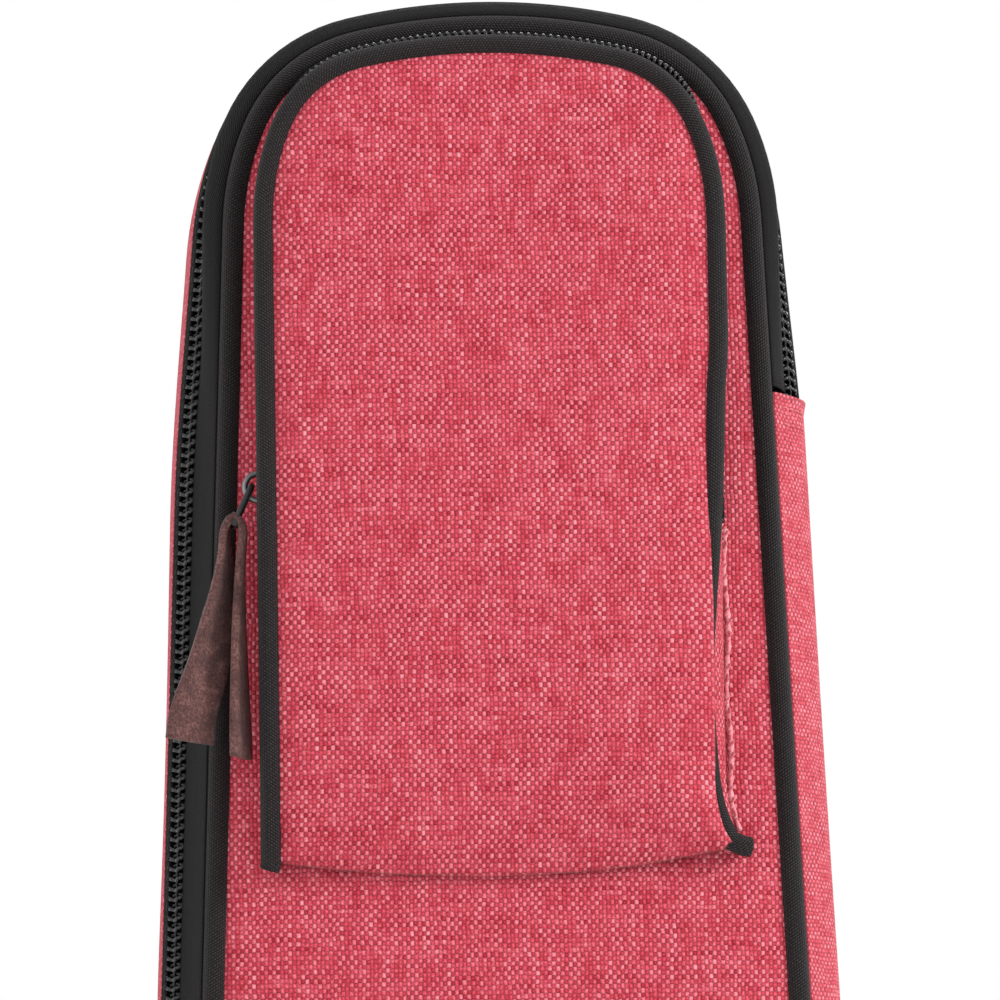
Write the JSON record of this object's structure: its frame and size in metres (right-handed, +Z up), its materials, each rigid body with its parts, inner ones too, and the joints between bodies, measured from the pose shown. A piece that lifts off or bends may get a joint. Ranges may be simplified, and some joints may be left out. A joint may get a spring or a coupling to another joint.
{
  "type": "padded ukulele case",
  "caption": "Soft padded case for a concert ukulele, with a zipped hinged lid, a head pocket, a carrying handle and shoulder straps.",
  "frame": {"origin": "on the floor under the base pad, on the case's middle plane, halfway between its front and back seams", "axes": "+Z up from the base to the head, -Y out of the front, +X towards the hinge side"},
  "size_m": [0.2523, 0.1215, 0.6484],
  "materials": {
    "cloth": "heathered plain weave",
    "foam": "closed-cell foam",
    "lining": "brushed",
    "piping": "woven, matt",
    "zip_tape": "herringbone",
    "zip_coil": "satin",
    "slider_metal": "worn nickel plate",
    "link_metal": "black",
    "leather": "soft, matt, wrinkled",
    "webbing": "ribbed weave",
    "buckle": "fine texture",
    "base_rubber": "matt"
  },
  "bodies": {
    "root": {"back_skin": "cloth", "back_foam": "foam", "back_lining": "lining", "side_skin": "cloth", "side_foam": "foam", "side_lining": "lining", "back_piping": "piping", "neck_rest": "lining", "neck_strap": "webbing", "hinge_gusset": "cloth", "zip_tape_rear": "zip_tape", "zip_coil_rear": "zip_coil", "zip_end_tape": "zip_tape", "zip_end_coil": "zip_coil", "zip_end_tab": "cloth", "base_pad": "base_rubber", "handle_patches": "webbing", "hang_loop": "webbing", "strap_yoke": "webbing", "strap_pads": "cloth", "strap_end_webbing": "webbing", "ladder_locks": "buckle", "lower_webbing": "webbing", "strap_anchors": "cloth"},
    "lid": {"front_skin": "cloth", "front_foam": "foam", "front_lining": "lining", "front_piping": "piping", "zip_tape_front": "zip_tape", "zip_coil_front": "zip_coil", "pocket_lower_panel": "cloth", "pocket_lower_piping": "piping", "pocket_gusset": "cloth", "pocket_tape_base": "zip_tape", "pocket_coil_base": "zip_coil", "pocket_zip_ends": "zip_coil"},
    "pocket_flap": {"pocket_panel": "cloth", "pocket_piping": "piping", "pocket_tape_flap": "zip_tape", "pocket_coil_flap": "zip_coil"},
    "pocket_slider": {"pocket_slider": "slider_metal"},
    "pocket_link": {"pocket_link": "link_metal"},
    "pocket_pull": {"pocket_pull": "leather"},
    "main_slider": {"main_slider": "slider_metal"},
    "main_link": {"main_link": "link_metal"},
    "main_pull": {"main_pull": "leather"},
    "handle": {"handle_grip": "webbing", "handle_webbing": "webbing"}
  },
  "joints": [
    {"name": "lid_hinge", "type": "hinge", "parent": "root", "child": "lid", "pos_m": [0.0533, -0.046, 0.5634], "axis": [-0.1392, 0, 0.9903], "range_deg": [0, 100]},
    {"name": "pocket_fold", "type": "hinge", "parent": "lid", "child": "pocket_flap", "pos_m": [0, -0.0643, 0.5544], "axis": [1, 0, 0], "range_deg": [0, 60]},
    {"name": "pocket_slide", "type": "slide", "parent": "lid", "child": "pocket_slider", "axis": [0.0384, 0, 0.9993], "range_m": [0, 0.04]},
    {"name": "pocket_link_swing", "type": "hinge", "parent": "pocket_slider", "child": "pocket_link", "pos_m": [-0.04927, -0.05662, 0.5425], "axis": [0, 1, 0], "range_deg": [0, 90]},
    {"name": "pocket_pull_swing", "type": "hinge", "parent": "pocket_link", "child": "pocket_pull", "pos_m": [-0.05282, -0.05662, 0.53489], "axis": [0, 1, 0], "range_deg": [0, 60]},
    {"name": "main_slide", "type": "hinge", "parent": "root", "child": "main_slider", "pos_m": [0.038, -0.03005, 0.0884], "axis": [0, 1, 0], "range_deg": [0, 14]},
    {"name": "main_link_swing", "type": "hinge", "parent": "main_slider", "child": "main_link", "pos_m": [0.12367, -0.03147, 0.08196], "axis": [-0.3998, -0.9166, 0], "range_deg": [0, 90]},
    {"name": "main_pull_swing", "type": "hinge", "parent": "main_link", "child": "main_pull", "pos_m": [0.12474, -0.03194, 0.07364], "axis": [-0.3998, -0.9166, 0], "range_deg": [0, 60]},
    {"name": "handle_swing", "type": "hinge", "parent": "root", "child": "handle", "pos_m": [0.0956, -0.008, 0.26255], "axis": [-0.3111, 0, 0.9504], "range_deg": [-40, 40]}
  ]
}
